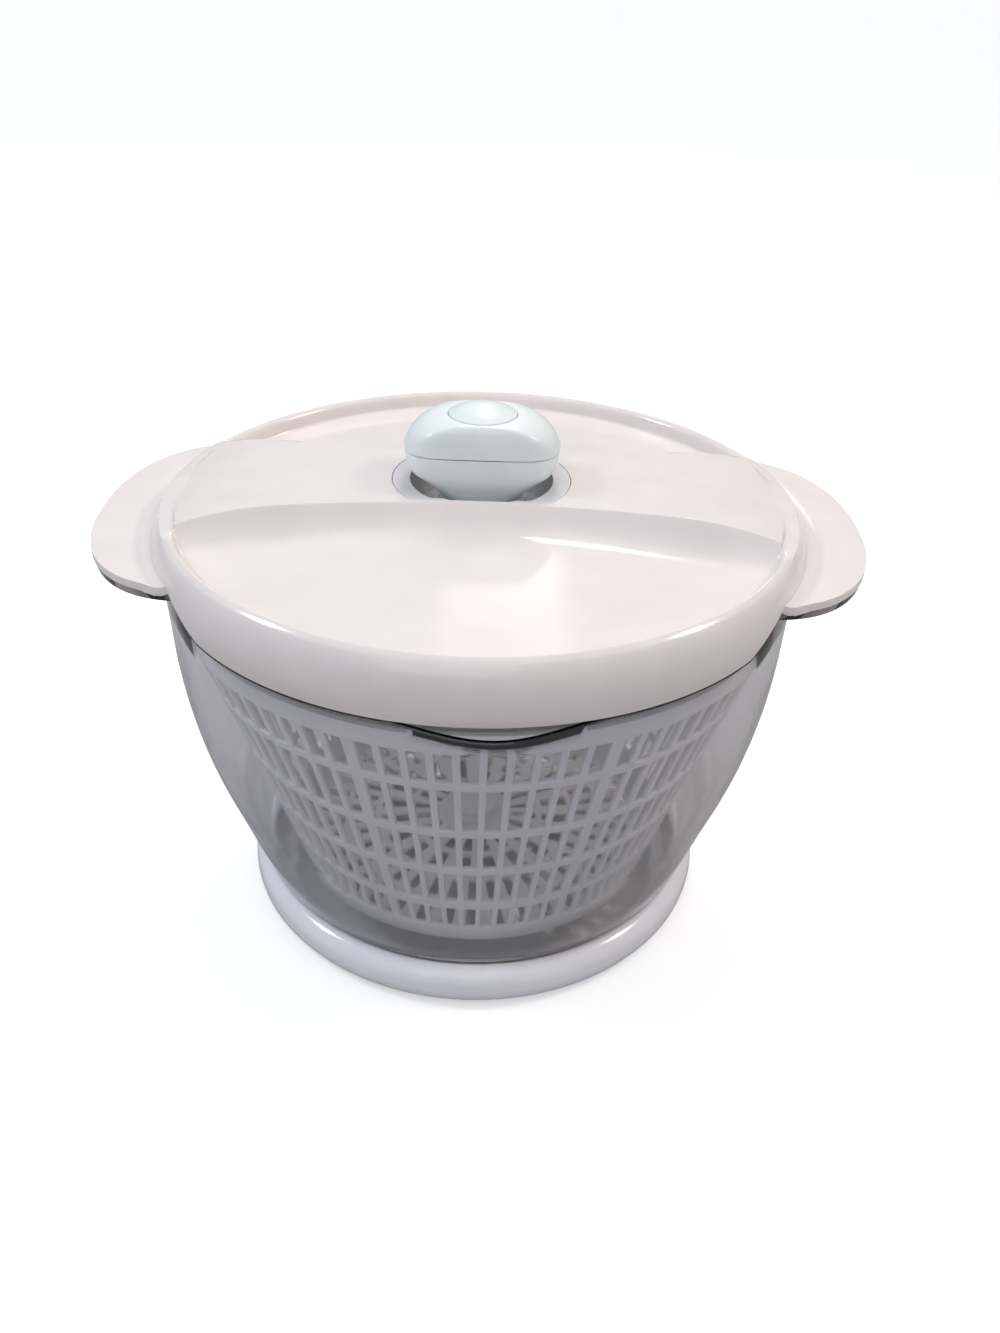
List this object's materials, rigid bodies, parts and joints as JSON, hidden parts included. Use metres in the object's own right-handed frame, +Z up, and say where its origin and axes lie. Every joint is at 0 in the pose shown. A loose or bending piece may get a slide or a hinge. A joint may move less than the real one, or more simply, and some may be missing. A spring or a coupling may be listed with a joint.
{
  "type": "salad spinner",
  "caption": "Pump-driven salad spinner: slotted basket in a clear bowl on a base ring, under a two-eared lid with a flat-sided push knob.",
  "frame": {"origin": "on the surface it stands on, under the spinning axis", "axes": "+Z up along the spinning axis, +X to an ear, -Y to the pouring lip"},
  "size_m": [0.314, 0.269, 0.2287],
  "materials": {
    "lid_plastic": "glossy moulded ABS, warm off-white",
    "ring_plastic": "glossy moulded ABS, white",
    "clear_plastic": "clear moulded SAN with a faint grey tint",
    "basket_plastic": "satin polypropylene, white",
    "knob_plastic": "satin-gloss moulded ABS, pale blue-green",
    "collar_plastic": "satin moulded plastic, light grey",
    "grey_plastic": "moulded acetal, grey",
    "inner_plastic": "satin moulded plastic, white",
    "natural_acetal": "natural acetal",
    "steel": "stainless steel",
    "spring_steel": "drawn spring steel",
    "foot_rubber": "soft light grey rubber"
  },
  "bodies": {
    "bowl_unit": {"bowl": "clear_plastic", "base_ring": "ring_plastic", "foot_ring": "foot_rubber", "base_screws": "steel", "pivot_pin": "steel"},
    "pivot_unit": {"pivot_bush": "natural_acetal"},
    "basket_unit": {"basket": "basket_plastic"},
    "lid_unit": {"lid_shell": "lid_plastic", "well_collar": "collar_plastic", "lid_liner": "inner_plastic", "liner_screws": "steel", "mechanism_housing": "inner_plastic", "housing_screws": "steel", "stem_gland": "grey_plastic", "carrying_ring": "spring_steel", "spring_seat": "steel", "return_spring": "spring_steel"},
    "drive_unit": {"drive_plate": "inner_plastic", "drive_bush": "natural_acetal", "thrust_washer": "natural_acetal", "ratchet_ring": "grey_plastic", "hub_cap": "inner_plastic", "hub_cap_screws": "steel"},
    "spindle_unit": {"spiral_spindle": "steel", "pawl_carrier": "grey_plastic", "clutch_pawls": "natural_acetal"},
    "knob_unit": {"knob_bell": "knob_plastic", "knob_cap": "knob_plastic", "spiral_nut": "natural_acetal", "nut_screws": "steel", "button_spring": "spring_steel"},
    "button_unit": {"lock_button": "knob_plastic"}
  },
  "joints": [
    {"name": "lid_lift", "type": "slide", "parent": "bowl_unit", "child": "lid_unit", "axis": [0, 0, 1], "range_m": [0, 0.3]},
    {"name": "basket_lift", "type": "slide", "parent": "bowl_unit", "child": "pivot_unit", "axis": [0, 0, 1], "range_m": [0, 0.17]},
    {"name": "basket_spin", "type": "hinge", "parent": "pivot_unit", "child": "basket_unit", "pos_m": [0, 0, 0.02], "axis": [0, 0, 1], "continuous": true},
    {"name": "drive_spin", "type": "hinge", "parent": "lid_unit", "child": "drive_unit", "pos_m": [0, 0, 0.15], "axis": [0, 0, 1], "continuous": true},
    {"name": "knob_rise", "type": "slide", "parent": "lid_unit", "child": "knob_unit", "axis": [0, 0, 1], "range_m": [0, 0.03], "deforming": ["return_spring"]},
    {"name": "spindle_turn", "type": "hinge", "parent": "lid_unit", "child": "spindle_unit", "pos_m": [0, 0, 0.15], "axis": [0, 0, 1], "range_deg": [-272, 0]},
    {"name": "button_press", "type": "slide", "parent": "knob_unit", "child": "button_unit", "axis": [0, 0, 1], "range_m": [-0.002, 0], "stiffness_N_per_m": 400, "deforming": ["button_spring"]}
  ],
  "couplings": [
    {"joint": "basket_lift", "follows": "lid_lift", "ratio": 0.55},
    {"joint": "drive_spin", "follows": "basket_spin", "ratio": 1},
    {"joint": "spindle_turn", "follows": "knob_rise", "rad_per_m": -157.08}
  ]
}
